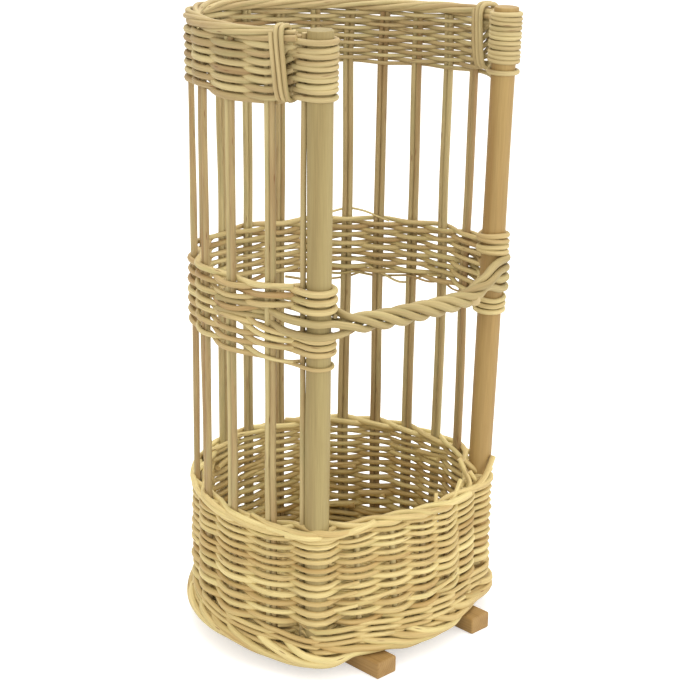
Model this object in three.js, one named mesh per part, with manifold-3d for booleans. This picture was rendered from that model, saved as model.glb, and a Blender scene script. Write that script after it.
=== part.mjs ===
// Tall bread basket of peeled willow, open at the front and on top: a woven tub on two
// wooden runners, a waist band and a head band woven on paired stakes, two stout front
// posts, and a twisted handle across the front. Millimetres, +Z up, the front faces -Y.
import * as THREE from 'three';
import { mergeVertices } from 'three/addons/utils/BufferGeometryUtils.js';
import Module from 'manifold-3d';

const wasm = await Module();
wasm.setup();

// Plan of the basket, measured on the centre line of the stakes
const basketHeight = 700;
const stakeRingRadius = 164;
const stakeRingFlareWidth = 2;
const postInset = 6;
const postLeanWidth = 12;
const postBearingDegrees = 36.3;
const tubFootBulgeDepth = 47;
const tubRimBulgeDepth = 28;

// Uprights
const stakePairs = 14;
const frontStakes = 5;
const stakeButtDiameter = 6.8;
const stakeTipDiameter = 5.8;
const stakeDriftDegrees = 12;
const stakeCrowdDegrees = 1;
const lastGapDegrees = 25;
const postDiameter = 26.5;
const postTopRise = 3;
const postEdgeRadius = 1.5;
const companionDiameter = 6;
const companionTopDepth = 3;

// Runners and base
const runnerWidth = 29;
const runnerHeight = 19.6;
const runnerSpacing = 153;
const runnerFrontInset = 11;
const runnerBackInset = 12;
const runnerEdgeRadius = 2;
const baseThickness = 12;
const baseCrossThickness = 5.6;
const baseHubRadius = 20;

// Woven bands and their borders
const weaverDiameter = 5;
const weaveCrossThickness = 7;
const bandEdgeRadius = 2;
const footBorderHeight = 16;
const footBorderWidth = 8;
const tubRimHeight = 173;
const rimRodDiameter = 7;
const waistBottom = 360;
const waistGapWidth = 10;
const waistGapHeight = 6;
const waistGapRows = 1;
const headBandHeight = 77;
const headDipDepth = 8;
const headBorderHeight = 15;
const headBorderWidth = 21;

// Rods wound round the posts, bound round the head band and twisted into the handle
const windingRodDiameter = 5.6;
const windingTurnGap = 0.6;
const headWindingLift = 14;
const waistUpperTurns = 3;
const waistLowerTurns = 4;
const bindingRodDiameter = 4.6;
const bindingTurns = 3;
const bindingWarpShare = 0.68;
const handleRods = 4;
const handleRodDiameter = 6.4;
const handleBulgeDepth = 16;
const handleSagDepth = 4;
const handleDropHeight = 8;
const handleRiseHeight = 8;
const handleClimbShare = 0.5;
const handleTurns = 2;
const handleTailWarps = 1;
const handleBendDegrees = 22;
const handleGatherShare = 0.3;

// Clearance between pieces that touch
const fitGap = 0.3;

// Facets
const rodSides = 8;
const postSides = 16;
const wovenRodSides = 5;
const rimSides = 6;
const stepsPerTurn = 12;

const postReach = stakeRingRadius - postInset;
const runnerFrontReach = stakeRingRadius - runnerFrontInset;
const runnerBackReach = stakeRingRadius - runnerBackInset;
const tubBottom = runnerHeight + fitGap;
const footTop = tubBottom + footBorderHeight;
const tubWallTop = tubRimHeight - rimRodDiameter - fitGap;
const headBottom = basketHeight - headBandHeight;
const headBandTop = basketHeight - headBorderHeight - fitGap;
const postTop = basketHeight + postTopRise;
const headWindingBottom = headBottom + headWindingLift;
const postRadius = postDiameter / 2;
const stakeHold = stakeButtDiameter / 2;
const companionReach = postRadius + companionDiameter / 2 + fitGap;
const bandHalf = stakeHold + fitGap + weaverDiameter;
const windingPitch = windingRodDiameter + windingTurnGap;
const windingLift = fitGap + windingRodDiameter / 2;
const windingReach = windingLift + windingRodDiameter / 2 + fitGap;
const handlePitch = handleRodDiameter + windingTurnGap;

// The waist band is as high as its windings, with the handle's rods between them
const waistLowerTop = waistBottom + waistLowerTurns * windingPitch + windingRodDiameter;
const waistUpperBottom = waistLowerTop + handleRods * handlePitch;
const waistTop = waistUpperBottom + waistUpperTurns * windingPitch + windingRodDiameter;
const handleHeight = (waistLowerTop + waistUpperBottom) / 2;

// Warps are numbered along the plan: 0 is the left post, then come the stake pairs round
// the back, then the right post, then the short stakes of the tub's front.
const rightPost = stakePairs + 1;
const warpTotal = rightPost + frontStakes + 1;

function blend(a, b, t) {
  return a + (b - a) * t;
}

function ease(t) {
  const s = Math.min(1, Math.max(0, t));
  return s * s * (3 - 2 * s);
}

function radians(degrees) {
  return THREE.MathUtils.degToRad(degrees);
}

function postDistance(z) {
  return postReach + postLeanWidth * z / basketHeight;
}

// Place of a warp's centre line in plan at height z
function planPoint(warp, z) {
  const reach = postDistance(z);
  if (warp > rightPost) {
    const across = 1 - 2 * (warp - rightPost) / (warpTotal - rightPost);
    const bulge = blend(tubFootBulgeDepth, tubRimBulgeDepth, z / tubRimHeight) * (1 - across * across);
    const x = reach * Math.cos(radians(postBearingDegrees)) * across;
    const y = -reach * Math.sin(radians(postBearingDegrees)) - bulge;
    return new THREE.Vector3(x, y, z);
  }
  const t = Math.min(1, warp / stakePairs);
  const bow = stakeDriftDegrees * Math.sin(Math.PI * t);
  const crowd = stakeCrowdDegrees * Math.sin(3 * Math.PI * t);
  const sweep = (180 + 2 * postBearingDegrees - lastGapDegrees) * t;
  const lastGap = lastGapDegrees * Math.max(0, warp - stakePairs);
  const bearing = radians(180 + postBearingDegrees - sweep - lastGap - bow + crowd);
  const ring = stakeRingRadius + stakeRingFlareWidth * z / basketHeight;
  const radius = blend(reach, ring, ease(Math.min(warp, rightPost - warp) / 2));
  return new THREE.Vector3(radius * Math.cos(bearing), radius * Math.sin(bearing), z);
}

// Directions along the plan and straight out of it
function planFrame(warp, z) {
  const step = 0.02;
  const before = planPoint((warp - step + warpTotal) % warpTotal, z);
  const after = planPoint((warp + step) % warpTotal, z);
  const along = after.sub(before).normalize();
  const out = new THREE.Vector3(-along.y, along.x, 0);
  return { along, out };
}

function wallPoint(warp, z, offset, shift = 0) {
  const wrapped = (warp + warpTotal) % warpTotal;
  const { along, out } = planFrame(wrapped, z);
  return planPoint(wrapped, z).addScaledVector(out, offset).addScaledVector(along, shift);
}

// The head band hangs a little lower at the back than at the sides
function headDip(warp) {
  return headDipDepth * ease((warp - 4) / 5) * ease((stakePairs - warp) / 3.5);
}

// Half the space that the uprights take inside a woven wall, wider at the posts
function upright(warp) {
  const toLeft = Math.min(Math.abs(warp), Math.abs(warpTotal - warp));
  const near = Math.min(1, toLeft, Math.abs(warp - rightPost));
  const swell = (1 - near * near) ** 2;
  return blend(stakeHold, postRadius, swell) + fitGap;
}

// A woven wall is thick where the weavers pass a stake and thin where they cross in between
function wovenShare(warp) {
  return Math.sin(Math.PI * warp) ** 2;
}

function wovenHalf(warp, full) {
  return blend(full, weaveCrossThickness / 2, wovenShare(warp));
}

// Where sections stand along the plan, closer together beside the posts
function columns(first, last) {
  const places = [];
  for (let warp = first; warp < last; warp += 1) {
    const beforePost = warp + 1 === rightPost || warp + 1 === warpTotal;
    const afterPost = warp === 0 || warp === rightPost;
    const shares = [0, 0.5];
    shares.push(...(afterPost ? [0.12, 0.25, 0.75] : []));
    shares.push(...(beforePost ? [0.25, 0.75, 0.88] : []));
    places.push(...shares.sort().map((share) => warp + share));
  }
  return places;
}

// Joins like sections one after the other, into a ring or into a bar with flat ends
function loft(sections, closed) {
  const size = sections[0].length;
  const faces = [];
  const spans = closed ? sections.length : sections.length - 1;
  for (let s = 0; s < spans; s += 1) {
    const here = s * size;
    const next = ((s + 1) % sections.length) * size;
    for (let i = 0; i < size; i += 1) {
      const j = (i + 1) % size;
      faces.push(here + i, next + j, next + i);
      faces.push(here + i, here + j, next + j);
    }
  }
  const lastSection = (sections.length - 1) * size;
  for (let i = 1; i + 1 < size && !closed; i += 1) {
    faces.push(0, i + 1, i);
    faces.push(lastSection, lastSection + i, lastSection + i + 1);
  }
  const geometry = new THREE.BufferGeometry();
  geometry.setFromPoints(sections.flat());
  geometry.setIndex(faces);
  geometry.computeVertexNormals();
  return geometry;
}

// Outline of an upright band's section at one warp, with eased edges
function bandSection(warp, bottom, top, half) {
  const flat = half - bandEdgeRadius;
  const corners = [
    [flat, bottom], [half, bottom + bandEdgeRadius], [half, top - bandEdgeRadius], [flat, top],
    [-flat, top], [-half, top - bandEdgeRadius], [-half, bottom + bandEdgeRadius], [-flat, bottom],
  ];
  return corners.map(([offset, z]) => wallPoint(warp, z, offset));
}

// Outline of an oval rod or border that runs along the plan
function ovalSection(warp, middle, offset, width, height, sides) {
  return Array.from({ length: sides }, (_, i) => {
    const angle = 2 * Math.PI * (i + 0.5) / sides;
    const side = offset + width / 2 * Math.cos(angle);
    return wallPoint(warp, middle + height / 2 * Math.sin(angle), side);
  });
}

const closedColumns = columns(0, warpTotal);
const openColumns = columns(0, rightPost).slice(1);

// A rod's centre line through points that a formula gives
class RodPath extends THREE.Curve {
  constructor(points) {
    super();
    this.points = points;
  }

  getPoint(t, target = new THREE.Vector3()) {
    const place = Math.min(1, Math.max(0, t)) * (this.points.length - 1);
    const index = Math.min(Math.floor(place), this.points.length - 2);
    return target.lerpVectors(this.points[index], this.points[index + 1], place - index);
  }

  getPointAt(t, target) {
    return this.getPoint(t, target);
  }

  getTangentAt(t, target) {
    return this.getTangent(t, target);
  }
}

function roundShape(diameter, sides) {
  const points = Array.from({ length: sides }, (_, i) => {
    const angle = 2 * Math.PI * i / sides;
    return new THREE.Vector2(diameter / 2 * Math.cos(angle), diameter / 2 * Math.sin(angle));
  });
  return new THREE.Shape(points);
}

function rodAlong(points, diameter) {
  return new THREE.ExtrudeGeometry(roundShape(diameter, wovenRodSides), {
    extrudePath: new RodPath(points),
    steps: points.length - 1,
    bevelEnabled: false,
  });
}

// Smallest space between the turns of a wound rod
function turnSpace(points, diameter, turnSteps) {
  let least = Infinity;
  for (let i = 0; i < points.length; i += 1) {
    for (let j = i + Math.round(turnSteps / 2); j < points.length; j += 1) {
      least = Math.min(least, points[i].distanceTo(points[j]) - diameter);
    }
  }
  return least;
}

// Solids for cuts
function toSolid(geometry) {
  const bare = geometry.clone();
  bare.deleteAttribute('normal');
  bare.deleteAttribute('uv');
  const merged = mergeVertices(bare, 0.0001);
  return new wasm.Manifold(new wasm.Mesh({
    numProp: 3,
    vertProperties: new Float32Array(merged.attributes.position.array),
    triVerts: new Uint32Array(merged.index.array),
  }));
}

function toGeometry(solid) {
  const mesh = solid.getMesh();
  const geometry = new THREE.BufferGeometry();
  geometry.setAttribute('position', new THREE.BufferAttribute(mesh.vertProperties, 3));
  geometry.setIndex(new THREE.BufferAttribute(mesh.triVerts, 1));
  geometry.computeVertexNormals();
  return geometry;
}

// Finishes
const finishes = {
  weave: { color: 0xcdb67c, roughness: 0.72, metalness: 0 },
  stake: { color: 0xc9ad72, roughness: 0.7, metalness: 0 },
  post: { color: 0xc6a462, roughness: 0.62, metalness: 0 },
  runner: { color: 0xc79a5c, roughness: 0.66, metalness: 0 },
};

const basket = new THREE.Group();

function piece(name, geometry, finish, parent = basket) {
  const mesh = new THREE.Mesh(geometry, new THREE.MeshStandardMaterial(finishes[finish]));
  mesh.name = name;
  parent.add(mesh);
  return mesh;
}

// Straight tapered rod between two points
function straightRod(name, foot, tip, buttDiameter, tipDiameter, finish) {
  const length = foot.distanceTo(tip);
  const taper = new THREE.CylinderGeometry(tipDiameter / 2, buttDiameter / 2, length, rodSides);
  const mesh = piece(name, taper, finish);
  mesh.position.copy(foot).lerp(tip, 0.5);
  const direction = tip.clone().sub(foot).normalize();
  mesh.quaternion.setFromUnitVectors(new THREE.Vector3(0, 1, 0), direction);
  return mesh;
}

// The hole that a straight rod needs through what is woven round it
function rodHole(foot, tip, buttDiameter, tipDiameter) {
  const along = tip.clone().sub(foot).normalize();
  const length = foot.distanceTo(tip) + 2 * bandEdgeRadius;
  const taper = new THREE.CylinderGeometry(
    tipDiameter / 2 + fitGap, buttDiameter / 2 + fitGap, length, rodSides);
  const turn = new THREE.Quaternion().setFromUnitVectors(new THREE.Vector3(0, 1, 0), along);
  taper.applyQuaternion(turn);
  const middle = foot.clone().lerp(tip, 0.5);
  taper.translate(middle.x, middle.y, middle.z);
  return toSolid(taper);
}

const holes = [];

// Runners
const runnerLength = runnerFrontReach + runnerBackReach;

function runnerShape() {
  const half = runnerWidth / 2 - runnerEdgeRadius;
  const shape = new THREE.Shape();
  shape.absarc(half, runnerEdgeRadius, runnerEdgeRadius, -Math.PI / 2, 0);
  shape.absarc(half, runnerHeight - runnerEdgeRadius, runnerEdgeRadius, 0, Math.PI / 2);
  shape.absarc(-half, runnerHeight - runnerEdgeRadius, runnerEdgeRadius, Math.PI / 2, Math.PI);
  shape.absarc(-half, runnerEdgeRadius, runnerEdgeRadius, Math.PI, 1.5 * Math.PI);
  return shape;
}

for (const [side, sign] of [['left', -1], ['right', 1]]) {
  const bar = new THREE.ExtrudeGeometry(runnerShape(), {
    depth: runnerLength,
    curveSegments: 3,
    bevelEnabled: false,
  });
  const mesh = piece(`runner_${side}`, bar, 'runner');
  mesh.rotation.x = Math.PI / 2;
  mesh.position.set(sign * runnerSpacing / 2, runnerBackReach, 0);
}

// Stakes in pairs round the back, from the runners' top to the head border
for (let warp = 1; warp <= stakePairs; warp += 1) {
  for (const [mate, side] of [['a', -1], ['b', 1]]) {
    const shift = side * (stakeButtDiameter + fitGap) / 2;
    const foot = wallPoint(warp, tubBottom, 0, shift);
    const tip = wallPoint(warp, headBandTop - headDip(warp), 0, shift);
    const name = `stake_${String(warp).padStart(2, '0')}${mate}`;
    straightRod(name, foot, tip, stakeButtDiameter, stakeTipDiameter, 'stake');
    holes.push(rodHole(foot, tip, stakeButtDiameter, stakeTipDiameter));
  }
}

// Short stakes in the tub's front
for (let number = 1; number <= frontStakes; number += 1) {
  const foot = wallPoint(rightPost + number, tubBottom, 0);
  const tip = wallPoint(rightPost + number, tubRimHeight, 0);
  straightRod(`front_stake_${number}`, foot, tip, stakeButtDiameter, stakeButtDiameter, 'stake');
  holes.push(rodHole(foot, tip, stakeButtDiameter, stakeButtDiameter));
}

// Loop drawn tight round a post and the thin rod beside it, which lies along local +X
function boundLoop(lift) {
  const rodRadius = companionDiameter / 2;
  const tangent = Math.acos((postRadius - rodRadius) / companionReach);
  const rodSteps = Math.round(stepsPerTurn * tangent / Math.PI);
  const arcs = [
    [0, postRadius, tangent, 2 * Math.PI - tangent, stepsPerTurn - rodSteps],
    [companionReach, rodRadius, -tangent, tangent, rodSteps],
  ];
  return arcs.flatMap(([centre, radius, start, end, steps]) => {
    const hold = (radius + lift) / Math.cos((end - start) / steps / 2);
    return Array.from({ length: steps + 1 }, (_, i) => {
      const angle = blend(start, end, i / steps);
      return new THREE.Vector2(centre + hold * Math.cos(angle), hold * Math.sin(angle));
    });
  });
}

// A rod wound round a post and its companion, climbing by one pitch a turn
function windingPoints(bottom, turns) {
  const loop = boundLoop(windingLift);
  return Array.from({ length: turns * loop.length + 1 }, (_, i) => {
    const place = loop[i % loop.length];
    const height = bottom + windingRodDiameter / 2 + i / loop.length * windingPitch;
    return new THREE.Vector3(place.x, place.y, height);
  });
}

const headTurns = Math.floor((postTop - headWindingBottom - windingRodDiameter) / windingPitch);
const upperBottoms = { left: waistUpperBottom, right: waistUpperBottom + handleRiseHeight };

// Each post stands in a frame of its own: Z up the post, X towards its nearest stakes
const posts = {};
for (const [side, warp, neighbour] of [['left', 0, 1], ['right', rightPost, stakePairs]]) {
  const foot = planPoint(warp, tubBottom);
  const rise = planPoint(warp, postTop).sub(foot);
  const axis = rise.clone().normalize();
  const towards = planPoint(neighbour, tubBottom).sub(foot);
  const local = new THREE.Vector3().crossVectors(axis, towards).normalize();
  const toStakes = new THREE.Vector3().crossVectors(local, axis);
  const frame = new THREE.Group();
  frame.position.copy(foot);
  frame.quaternion.setFromRotationMatrix(new THREE.Matrix4().makeBasis(toStakes, local, axis));
  basket.add(frame);
  frame.updateMatrixWorld(true);
  const length = rise.length();
  posts[side] = { frame, warp, length };

  const profile = [
    [0, 0], [postRadius - postEdgeRadius, 0], [postRadius, postEdgeRadius],
    [postRadius, length - postEdgeRadius], [postRadius - postEdgeRadius, length], [0, length],
  ].map(([x, y]) => new THREE.Vector2(x, y));
  const stick = new THREE.LatheGeometry(profile, postSides);
  piece(`post_${side}`, stick.rotateX(Math.PI / 2), 'post', frame);
  const hole = new THREE.CylinderGeometry(
    postRadius + fitGap, postRadius + fitGap, length + 2 * bandEdgeRadius, postSides);
  hole.rotateX(Math.PI / 2);
  hole.translate(0, 0, length / 2);
  holes.push(toSolid(hole.applyMatrix4(frame.matrixWorld)));

  const companionLength = length - companionTopDepth;
  const companion = new THREE.CylinderGeometry(
    companionDiameter / 2, companionDiameter / 2, companionLength, rodSides);
  companion.rotateX(Math.PI / 2);
  const rod = piece(`post_rod_${side}`, companion, 'stake', frame);
  rod.position.set(companionReach, 0, companionLength / 2);
  const rodHoleSize = companionDiameter / 2 + fitGap;
  const companionHole = new THREE.CylinderGeometry(rodHoleSize, rodHoleSize, length, rodSides);
  companionHole.rotateX(Math.PI / 2);
  companionHole.translate(companionReach, 0, length / 2);
  holes.push(toSolid(companionHole.applyMatrix4(frame.matrixWorld)));

  const windings = [
    ['head_winding', headWindingBottom, headTurns],
    ['waist_winding_upper', upperBottoms[side], waistUpperTurns],
    ['waist_winding_lower', waistBottom, waistLowerTurns],
  ];
  for (const [name, bottom, turns] of windings) {
    const points = windingPoints(bottom - tubBottom, turns);
    piece(`${name}_${side}`, rodAlong(points, windingRodDiameter), 'weave', frame);
    const space = turnSpace(points, windingRodDiameter, stepsPerTurn);
    console.log(`${name}_${side}: least space between turns ${space.toFixed(2)} mm`);
  }
}

const allHoles = holes.reduce((sum, hole) => sum.add(hole));

// Space that the windings take at a post, cleared out of the open bands
function windingRoom(side) {
  const room = new THREE.ExtrudeGeometry(new THREE.Shape(boundLoop(windingReach)), {
    depth: posts[side].length + 2 * bandEdgeRadius,
    bevelEnabled: false,
  });
  return toSolid(room.applyMatrix4(posts[side].frame.matrixWorld));
}

const bandEnds = windingRoom('left').add(windingRoom('right'));

// Openings beside the stakes, where the rods of a loosely woven band lie apart
function wovenGaps(bottom, top) {
  const slot = new THREE.BoxGeometry(waistGapWidth, 4 * bandHalf, waistGapHeight);
  const reach = stakeButtDiameter + fitGap + waistGapWidth / 3;
  const gaps = [];
  for (let warp = 1; warp <= stakePairs; warp += 1) {
    const sides = [-1, 1].filter((side) => warp + side >= 1 && warp + side <= stakePairs);
    for (const side of sides) {
      for (let row = 1; row <= waistGapRows; row += 1) {
        const z = blend(bottom, top, (row + side / 4) / (waistGapRows + 1));
        const { along, out } = planFrame(warp, z);
        const turn = new THREE.Matrix4().makeBasis(along, out, new THREE.Vector3(0, 0, 1));
        turn.setPosition(wallPoint(warp, z, 0, side * reach));
        gaps.push(toSolid(slot.clone().applyMatrix4(turn)));
      }
    }
  }
  return gaps.reduce((sum, gap) => sum.add(gap));
}

function wovenBand(name, bottom, top, dip, openings) {
  const bar = loft(openColumns.map((warp) => {
    const half = warp > 1 && warp < stakePairs ? wovenHalf(warp, bandHalf) : bandHalf;
    return bandSection(warp, bottom - dip(warp), top - dip(warp), half);
  }), false);
  const cut = toSolid(bar).subtract(bandEnds).subtract(openings);
  piece(name, toGeometry(cut), 'weave');
}

// Tub: foot border outside the stakes, base inside them, wall woven through them
const footMiddle = tubBottom + footBorderHeight / 2;
piece('foot_border', loft(closedColumns.map((warp) => ovalSection(
  warp, footMiddle, upright(warp) + footBorderWidth / 2, footBorderWidth, footBorderHeight, rodSides,
)), true), 'weave');

// The base is woven on spokes that run from a hub to the uprights
const baseMiddle = tubBottom + baseThickness / 2;
const base = loft(closedColumns.map((warp) => {
  const edge = wallPoint(warp, 0, -upright(warp));
  const hub = edge.clone().setLength(baseHubRadius / 2);
  const half = blend(baseThickness, baseCrossThickness, wovenShare(warp)) / 2;
  const corners = [[hub, -half], [edge, -half], [edge, half], [hub, half]];
  return corners.map(([place, rise]) => new THREE.Vector3(place.x, place.y, baseMiddle + rise));
}), true);
const hub = new THREE.CylinderGeometry(baseHubRadius, baseHubRadius, baseThickness, postSides);
hub.rotateX(Math.PI / 2);
hub.translate(0, 0, baseMiddle);
piece('base_mat', toGeometry(toSolid(base).add(toSolid(hub)).subtract(allHoles)), 'weave');

const tub = loft(closedColumns.map((warp) => bandSection(
  warp, footTop + fitGap, tubWallTop, wovenHalf(warp, upright(warp) + weaverDiameter),
)), true);
piece('tub_weave', toGeometry(toSolid(tub).subtract(allHoles)), 'weave');

const rimMiddle = tubRimHeight - rimRodDiameter / 2;
for (const [name, side] of [['tub_rim_outer', 1], ['tub_rim_inner', -1]]) {
  piece(name, loft(closedColumns.map((warp) => {
    const offset = side * (upright(warp) + rimRodDiameter / 2);
    return ovalSection(warp, rimMiddle, offset, rimRodDiameter, rimRodDiameter, rimSides);
  }), true), 'weave');
}

// Waist and head bands, open at the front
const waistOpenings = allHoles.add(wovenGaps(waistBottom, waistTop));
wovenBand('waist_weave', waistBottom, waistTop, () => 0, waistOpenings);
wovenBand('head_weave', headBottom, headBandTop, headDip, allHoles);

const borderMiddle = basketHeight - headBorderHeight / 2;
const border = loft(openColumns.map((warp) => ovalSection(
  warp, borderMiddle - headDip(warp), 0, headBorderWidth, headBorderHeight, rodSides,
)), false);
piece('head_border', toGeometry(toSolid(border).subtract(bandEnds)), 'weave');

// Rod bound round the head band and its border beside each post
function bindingPoints(warp) {
  const lift = fitGap + bindingRodDiameter / 2;
  const pitch = bindingRodDiameter + windingTurnGap;
  const corners = [
    [headBorderWidth / 2, basketHeight], [bandHalf, headBottom],
    [-bandHalf, headBottom], [-headBorderWidth / 2, basketHeight],
  ];
  const points = [];
  for (let turn = 0; turn < bindingTurns; turn += 1) {
    corners.forEach(([offset, z], corner) => {
      for (const part of [0, 1, 2]) {
        const shift = (turn + (corner + part / 3) / 4 - bindingTurns / 2) * pitch;
        const angle = Math.PI / 2 - Math.PI * (corner + part / 2) / 2;
        const side = offset + lift * Math.cos(angle);
        points.push(wallPoint(warp, z + lift * Math.sin(angle), side, shift));
      }
    });
  }
  return points;
}

for (const [side, middle] of [['left', bindingWarpShare], ['right', rightPost - bindingWarpShare]]) {
  const points = bindingPoints(middle);
  piece(`head_binding_${side}`, rodAlong(points, bindingRodDiameter), 'weave');
  const space = turnSpace(points, bindingRodDiameter, 12);
  console.log(`head_binding_${side}: least space between turns ${space.toFixed(2)} mm`);
}

// The handle's rods sink a little towards the right post, then climb as they pass round it
function handleClimb(across) {
  const sunk = -handleDropHeight * (across + 1) / 2;
  return blend(sunk, handleRiseHeight, ease((across - 1 + handleGatherShare) / handleClimbShare));
}

// Handle: rods come off the waist band, every second one inside the left post and the others
// in front of it, twist together across the front and fan out over the right post
function handlePoints(number) {
  const lift = fitGap + handleRodDiameter / 2;
  const level = (number - (handleRods - 1) / 2) * handlePitch;
  const height = handleHeight + level;
  const twistSpan = 1 - handleGatherShare;
  const inside = number % 2 === 1;
  const beside = (warp, z, sign) => wallPoint(warp, z, sign * (bandHalf + lift));
  const aroundPost = (post, sign, degrees, z) => {
    const angle = radians(degrees);
    const reach = (postRadius + lift) / Math.cos(radians(handleBendDegrees / 2));
    const out = new THREE.Vector3(sign * Math.sin(angle), -Math.cos(angle), 0);
    return planPoint(post, z).addScaledVector(out, reach);
  };

  // Stacked beside the posts, the rods close up into a ring and then twist
  const post = planPoint(rightPost, handleHeight);
  const front = post.y - postRadius - lift;
  const ringRadius = handlePitch / 2 / Math.sin(Math.PI / handleRods) * 1.1;
  const rank = (number % 2 ? -1 : 1) * Math.ceil(number / 2) / handleRods;
  const ropePoint = (across) => {
    const arch = 1 - across * across;
    const mix = ease((1 - Math.abs(across)) / handleGatherShare);
    const twist = Math.min(1, Math.max(-1, across / twistSpan)) * handleTurns / 2;
    const angle = 2 * Math.PI * (rank - twist - handleTurns / 2) - Math.PI / 2;
    const ring = ringRadius * (1 + mix * (1 - mix));
    const y = front - handleBulgeDepth * arch - mix * ring * Math.cos(angle);
    const sag = handleClimb(across) - handleSagDepth * arch;
    const z = handleHeight + sag + blend(level, ring * Math.sin(angle), mix);
    return new THREE.Vector3(across * post.x, y, z);
  };

  const tail = [handleTailWarps, 0.75, 0.5];
  const bends = [3, 2, 1];
  const points = tail.map((warp) => beside(warp, height, inside ? -1 : 1));
  if (inside) {
    const toStakes = planPoint(1, height).sub(planPoint(0, height)).normalize();
    const inward = new THREE.Vector3(toStakes.y, -toStakes.x, 0);
    const pass = planPoint(0, height).addScaledVector(inward, postRadius + 2 * lift);
    const turn = pass.clone().addScaledVector(toStakes, -postRadius);
    const entry = new THREE.QuadraticBezierCurve3(pass, turn, ropePoint(-twistSpan));
    points.push(...entry.getPoints(bends.length + 1).slice(0, -1));
  } else {
    points.push(...bends.map((step) => aroundPost(0, -1, step * handleBendDegrees, height)));
  }

  const first = inside ? -twistSpan : -1;
  const steps = Math.round((1 - first) / 2 * handleTurns * stepsPerTurn / twistSpan);
  for (let i = 0; i <= steps; i += 1) {
    points.push(ropePoint(blend(first, 1, i / steps)));
  }
  const climbPast = (handleClimbShare - handleGatherShare) / bends.length;
  const beyond = (step) => height + handleClimb(1 + climbPast * step);
  bends.reverse().forEach((step) => {
    points.push(aroundPost(rightPost, 1, step * handleBendDegrees, beyond(step)));
  });
  points.push(...tail.reverse().map((warp) => beside(rightPost - warp, height + handleRiseHeight, 1)));
  return points;
}

for (let number = 0; number < handleRods; number += 1) {
  piece(`handle_rod_${number + 1}`, rodAlong(handlePoints(number), handleRodDiameter), 'weave');
}

// Stand the basket on its own middle
const part = new THREE.Group();
part.add(basket);
const box = new THREE.Box3().setFromObject(part, true);
const middle = box.getCenter(new THREE.Vector3());
basket.position.set(-middle.x, -middle.y, -box.min.z);

export default part;
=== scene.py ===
import math
import bmesh
import bpy
import numpy as np
from mathutils import Matrix, Quaternion, Vector


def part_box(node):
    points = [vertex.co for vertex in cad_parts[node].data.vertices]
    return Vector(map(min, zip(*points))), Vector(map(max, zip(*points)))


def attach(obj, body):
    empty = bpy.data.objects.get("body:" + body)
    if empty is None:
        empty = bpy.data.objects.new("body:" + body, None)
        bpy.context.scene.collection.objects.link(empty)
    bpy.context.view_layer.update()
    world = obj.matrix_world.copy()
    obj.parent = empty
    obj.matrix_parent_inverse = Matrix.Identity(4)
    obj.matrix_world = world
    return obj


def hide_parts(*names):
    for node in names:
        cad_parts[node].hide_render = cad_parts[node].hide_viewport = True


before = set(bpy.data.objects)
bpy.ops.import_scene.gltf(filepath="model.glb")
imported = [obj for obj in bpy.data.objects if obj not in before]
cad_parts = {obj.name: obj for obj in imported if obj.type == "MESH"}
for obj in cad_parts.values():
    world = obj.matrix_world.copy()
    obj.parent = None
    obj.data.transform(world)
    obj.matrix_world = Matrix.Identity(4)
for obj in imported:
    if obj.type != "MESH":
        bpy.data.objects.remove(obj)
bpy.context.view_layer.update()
scene = bpy.context.scene
print("basket frame:", len(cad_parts), "nodes")

# plan of the basket in millimetres, on the stakes' centre line
plan = {
    "height": 700, "ringRadius": 164, "ringFlare": 2, "postInset": 6, "postLean": 12,
    "postBearing": 36.3, "postEase": 2, "footBulge": 47, "rimBulge": 28, "tubRim": 173,
    "pairs": 14, "frontStakes": 5, "drift": 12, "crowd": 1, "lastGap": 25, "stakeRadius": 3.4,
    "postRadius": 13.25, "rodRadius": 3, "rodReach": 16.55, "floorOfTub": 19.9, "behindRunners": 0.5,
}
millimetre = 0.001
halfWarp = 0.5  # half the way from one upright to the next
rightPost = plan["pairs"] + 1  # warp 0 is the left post, then the pairs round the back
firstFront = rightPost + 1  # then the front stakes, right to left
warpTotal = firstFront + plan["frontStakes"]
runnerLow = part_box("runner_left")[0]
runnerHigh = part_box("runner_right")[1]
runnerMiddle = (runnerLow + runnerHigh) / 2
planCentre = np.array([runnerMiddle.x, runnerMiddle.y + plan["behindRunners"] * millimetre, 0.0])


def newObject(name, data):
    made = bpy.data.objects.new(name, data)
    scene.collection.objects.link(made)
    return made


# camera, as the basket was photographed: from the left front, a little above
view = {
    "place": (-1.32688, -1.35203, 0.9692), "target": (0.00624, 0.01307, 0.32741),
    "lens": 94.34, "sensor": 36, "roll": 0.83,
}
eye = bpy.data.cameras.new("viewCamera")
eye.lens = view["lens"]
eye.sensor_width = view["sensor"]
eye.dof.use_dof = False
camera = newObject("viewCamera", eye)
camera.location = Vector(view["place"]) + Vector(planCentre)
aim = (Vector(view["target"]) - Vector(view["place"])).to_track_quat("-Z", "Y")
camera.rotation_mode = "QUATERNION"
camera.rotation_quaternion = aim @ Quaternion((0, 0, 1), math.radians(view["roll"]))
scene.camera = camera
scene.view_settings.view_transform = "Standard"


def ease(t):  # smooth step from 0 to 1
    s = np.clip(t, 0.0, 1.0)
    return s * s * (3.0 - 2.0 * s)


def slope(places, start, width):  # smooth step from a place on, falling where the width is negative
    return ease((places - start) / width)


def ramp(places, start, width):  # the same with straight sides
    return np.clip((places - start) / width, 0, 1)


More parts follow.
